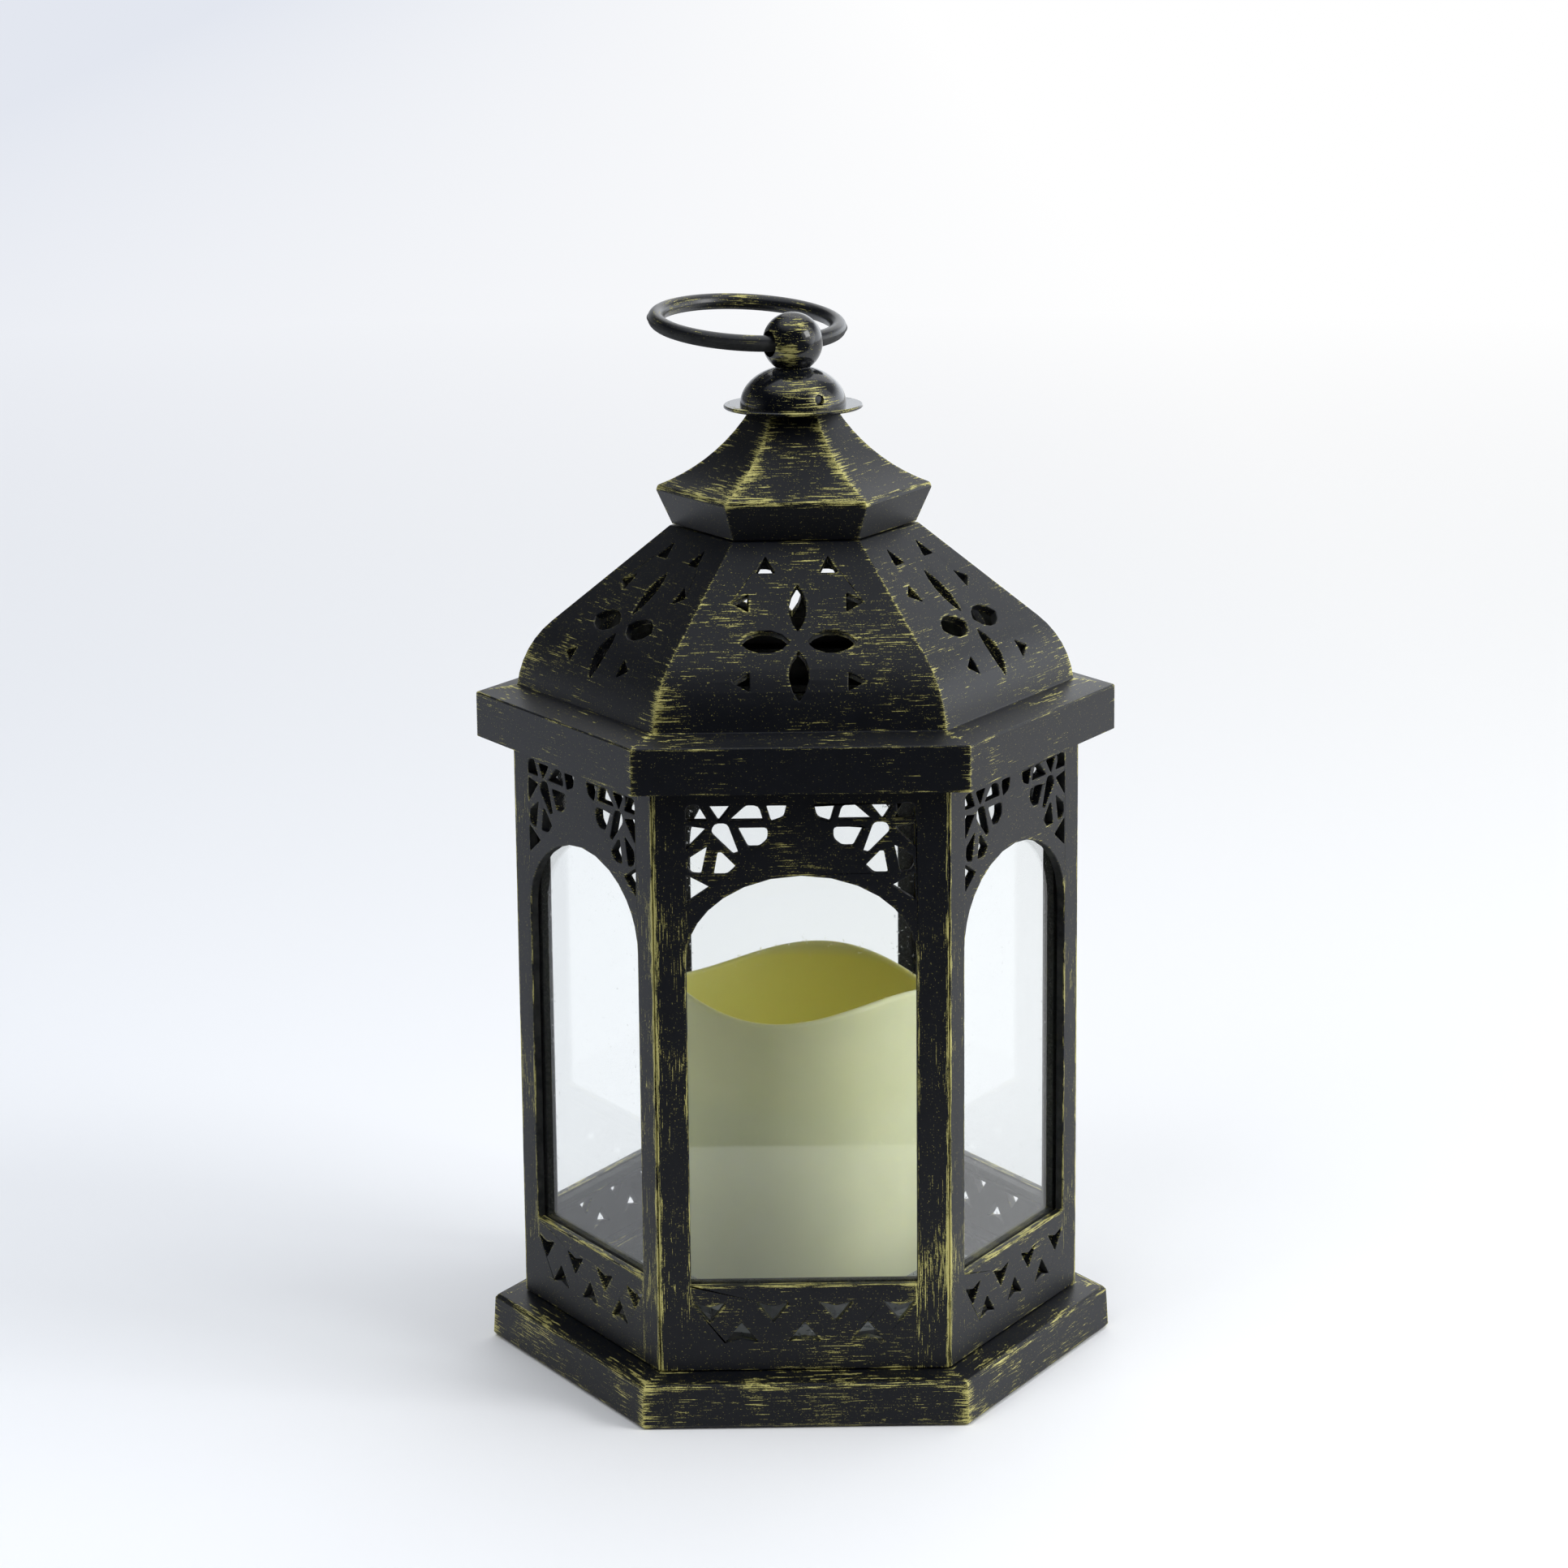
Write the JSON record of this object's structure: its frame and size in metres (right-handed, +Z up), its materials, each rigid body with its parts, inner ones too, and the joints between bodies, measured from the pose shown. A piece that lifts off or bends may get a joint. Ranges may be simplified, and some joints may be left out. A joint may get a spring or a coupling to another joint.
{
  "type": "hurricane lantern",
  "caption": "Hexagonal tabletop lantern with arched glazed windows, a pierced domed roof, a carrying ring and a battery-lit pillar candle.",
  "frame": {"origin": "middle of the foot's hexagon, on the surface the lantern stands on", "axes": "+Z up through the candle and the finial, -Y out of the front panel, corners on +X and -X"},
  "size_m": [0.1608, 0.1392, 0.2656],
  "materials": {
    "black_plastic_brushed_gold": "satin black paint with dry-brushed antique gold on edges and raised areas",
    "raw_black_plastic": "unpainted black moulding with a rough face",
    "clear_pane": "clear and colourless, smooth",
    "ivory_wax_plastic": "waxy ivory, softly translucent",
    "frosted_flame_plastic": "frosted translucent",
    "led_epoxy": "clear warm white",
    "green_circuit_board": "green solder mask",
    "battery_jacket": "printed dark jacket over metal",
    "plated_steel": "bright plated",
    "switch_plastic": "black, slightly glossy"
  },
  "bodies": {
    "lantern": {"side_panel_1": "black_plastic_brushed_gold", "side_panel_2": "black_plastic_brushed_gold", "side_panel_3": "black_plastic_brushed_gold", "side_panel_4": "black_plastic_brushed_gold", "side_panel_5": "black_plastic_brushed_gold", "side_panel_6": "black_plastic_brushed_gold", "base_plinth": "black_plastic_brushed_gold", "roof": "black_plastic_brushed_gold", "roof_cap": "black_plastic_brushed_gold", "finial_front_half": "black_plastic_brushed_gold", "finial_rear_half": "black_plastic_brushed_gold", "window_pane_1": "clear_pane", "window_pane_2": "clear_pane", "window_pane_3": "clear_pane", "window_pane_4": "clear_pane", "window_pane_5": "clear_pane", "window_pane_6": "clear_pane", "pane_retainer_1": "raw_black_plastic", "pane_retainer_2": "raw_black_plastic", "pane_retainer_3": "raw_black_plastic", "pane_retainer_4": "raw_black_plastic", "pane_retainer_5": "raw_black_plastic", "pane_retainer_6": "raw_black_plastic", "battery_housing": "raw_black_plastic", "led_post": "raw_black_plastic", "candle_shell": "ivory_wax_plastic", "flame_tip": "frosted_flame_plastic", "led": "led_epoxy", "led_board": "green_circuit_board", "timer_board": "green_circuit_board", "battery_1": "battery_jacket", "housing_screw_1": "plated_steel", "battery_2": "battery_jacket", "housing_screw_2": "plated_steel", "battery_3": "battery_jacket", "housing_screw_3": "plated_steel", "contact_strip_left": "plated_steel", "contact_strip_right": "plated_steel", "finial_pin": "plated_steel", "power_switch": "switch_plastic"},
    "ring": {"ring_handle": "black_plastic_brushed_gold"},
    "door": {"battery_door": "raw_black_plastic"},
    "slider": {"switch_slider": "switch_plastic"}
  },
  "joints": [
    {"name": "ring_swing", "type": "hinge", "parent": "lantern", "child": "ring", "pos_m": [0, 0, 0.25803], "axis": [0.866, 0.5, 0], "range_deg": [-48, 215]},
    {"name": "switch_slide", "type": "slide", "parent": "lantern", "child": "slider", "axis": [1, 0, 0], "range_m": [-0.002, 0.002]},
    {"name": "battery_door_slide", "type": "slide", "parent": "lantern", "child": "door", "axis": [1, 0, 0], "range_m": [0, 0.008]}
  ]
}
